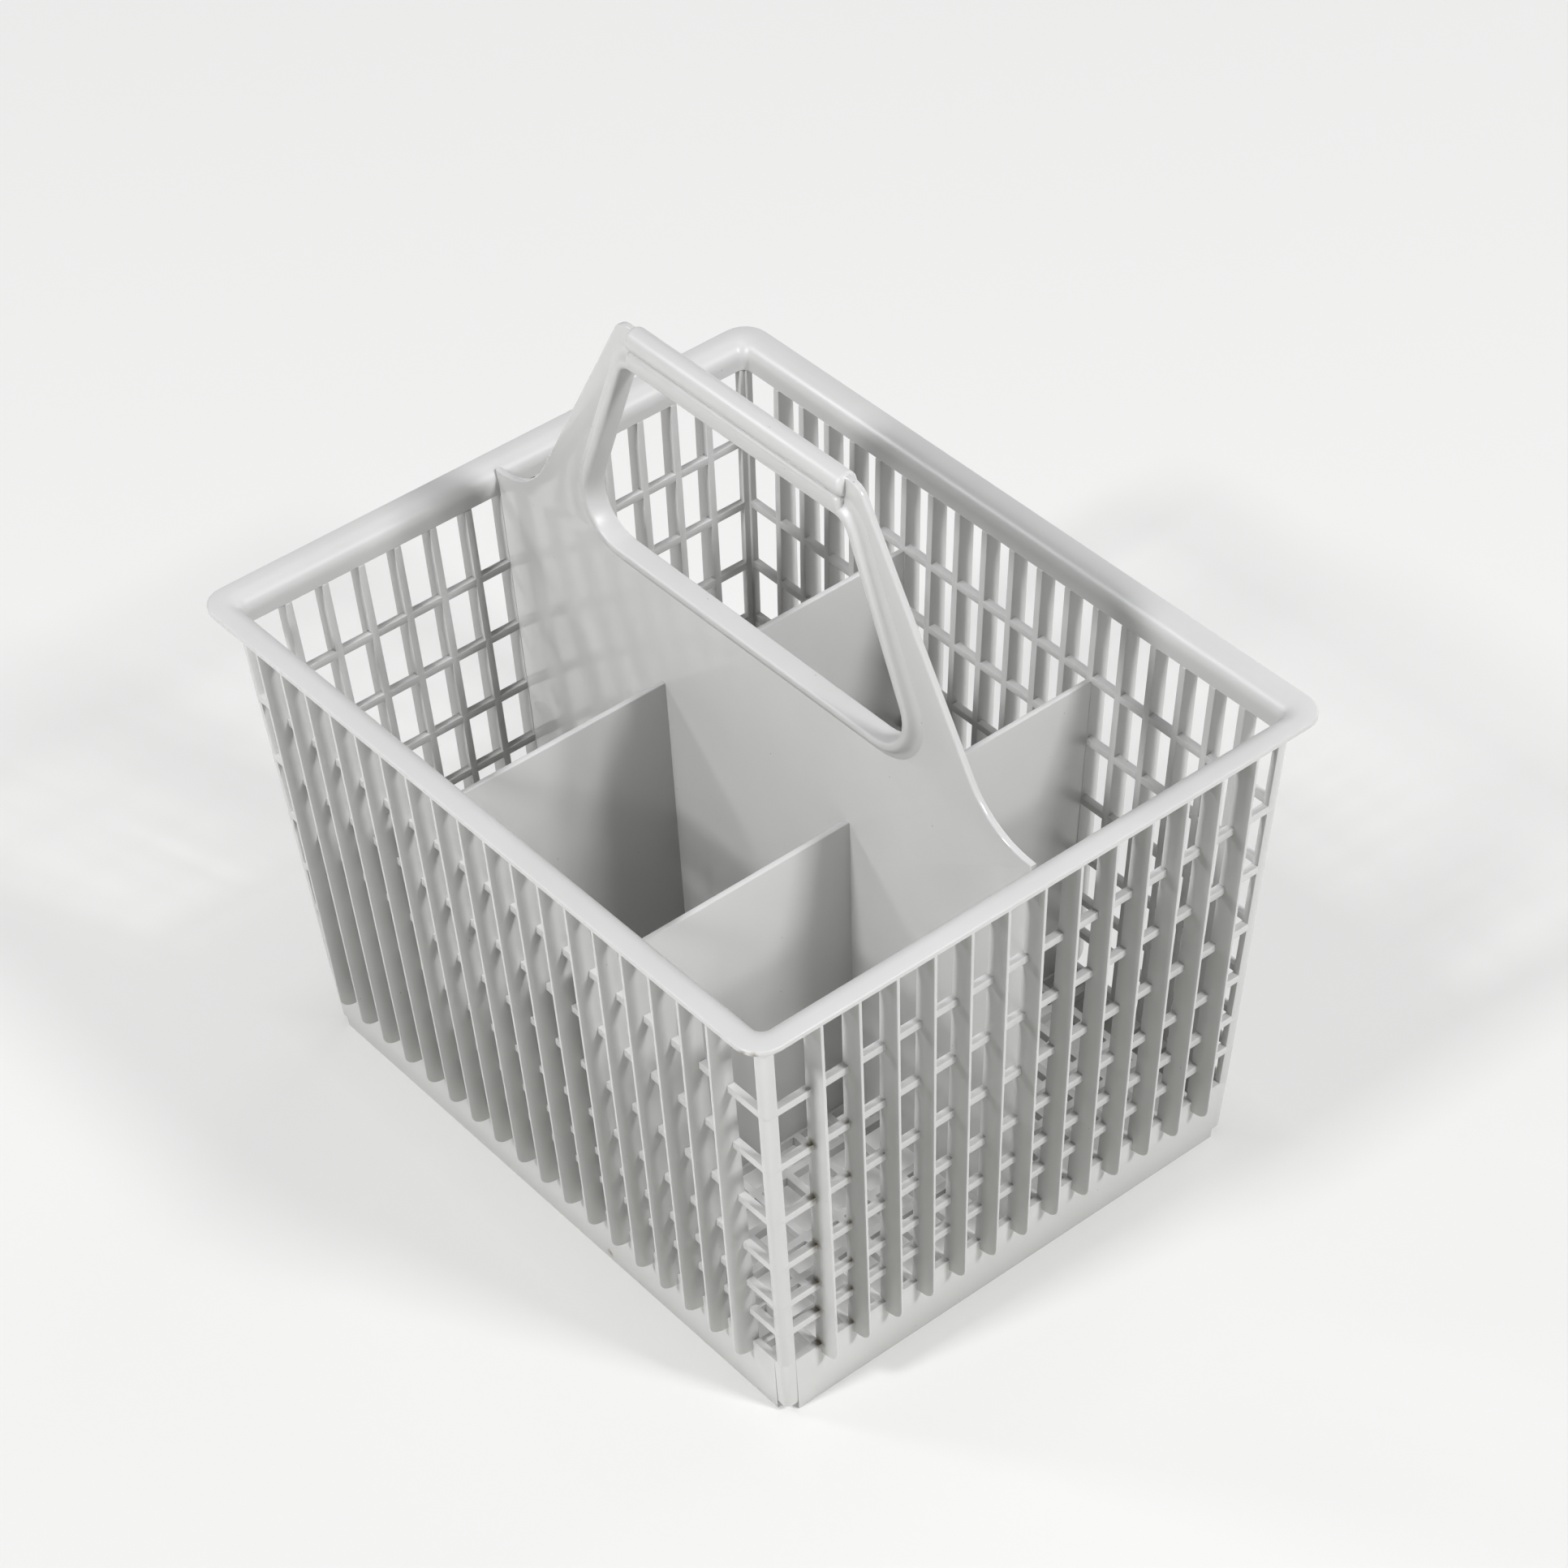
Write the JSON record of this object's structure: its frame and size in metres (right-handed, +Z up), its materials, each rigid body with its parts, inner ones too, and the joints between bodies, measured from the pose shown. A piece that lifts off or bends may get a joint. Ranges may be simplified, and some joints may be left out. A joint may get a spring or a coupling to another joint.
{
  "type": "dishwasher cutlery basket",
  "caption": "Moulded plastic basket with leaning walls of upright fins and level bars, a flat rim, a draining floor, partitions for cutlery and a central handle with a hand hole.",
  "frame": {"origin": "centre of the foot, on the surface that the basket stands on", "axes": "+X along the central wall and handle, +Y across the basket, +Z up"},
  "size_m": [0.24, 0.195, 0.241],
  "materials": {
    "polypropylene": "satin moulded polypropylene, pale grey"
  },
  "bodies": {
    "root": {"basket": "polypropylene"}
  },
  "joints": []
}
